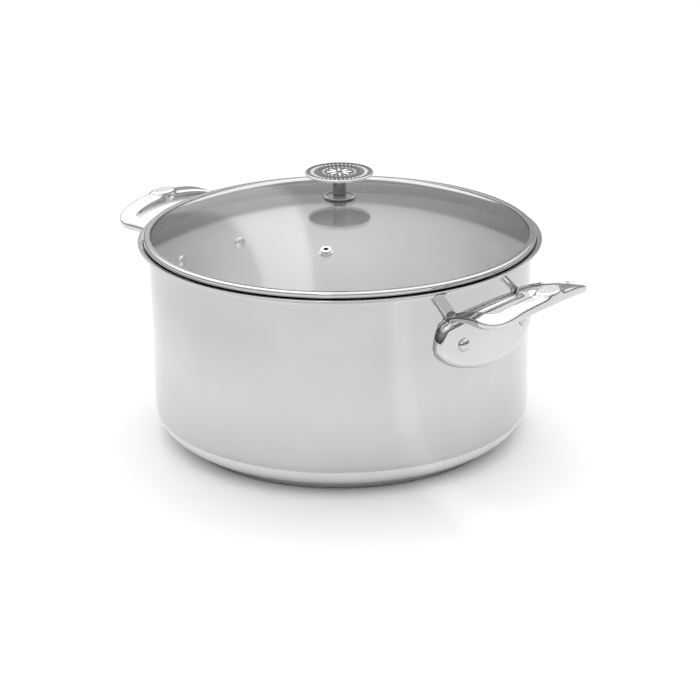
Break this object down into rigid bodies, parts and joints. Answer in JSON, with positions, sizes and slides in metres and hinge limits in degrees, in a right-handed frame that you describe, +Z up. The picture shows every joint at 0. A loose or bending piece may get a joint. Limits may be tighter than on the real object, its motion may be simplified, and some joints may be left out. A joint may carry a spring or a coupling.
{
  "type": "stock pot",
  "caption": "Low round stainless steel stock pot with riveted cast loop handles, a sandwich base and a lift-off domed glass lid with a steel rim, steam vent and disc knob.",
  "frame": {"origin": "centre of the base's underside, where the pot stands", "axes": "+X from the pot's axis towards one handle, along the line through both handles; +Y across it; +Z up the pot's axis towards the knob"},
  "size_m": [0.393, 0.2972, 0.198],
  "materials": {
    "shell_steel": "polished",
    "core_aluminium": "satin",
    "capsule_steel": "satin",
    "cast_steel": "polished",
    "rivet_steel": "polished",
    "lid_glass": "gloss",
    "band_steel": "polished",
    "eyelet_steel": "polished",
    "knob_steel": "polished",
    "gasket_silicone": "satin",
    "screw_steel": "satin"
  },
  "bodies": {
    "pot": {"pot_shell": "shell_steel", "base_core": "core_aluminium", "base_capsule": "capsule_steel", "handle_right": "cast_steel", "handle_left": "cast_steel", "rivet_right_front": "rivet_steel", "rivet_right_back": "rivet_steel", "rivet_left_front": "rivet_steel", "rivet_left_back": "rivet_steel"},
    "lid": {"lid_glass": "lid_glass", "lid_band": "band_steel", "vent_eyelet": "eyelet_steel", "vent_washer": "eyelet_steel", "knob_disc": "knob_steel", "knob_stem": "knob_steel", "knob_collar": "knob_steel", "upper_gasket": "gasket_silicone", "lower_gasket": "gasket_silicone", "knob_washer": "screw_steel", "lock_washer": "screw_steel", "knob_screw": "screw_steel"}
  },
  "joints": [
    {"name": "lid_lift", "type": "slide", "parent": "pot", "child": "lid", "axis": [0, 0, 1], "range_m": [0, 0.15]}
  ]
}
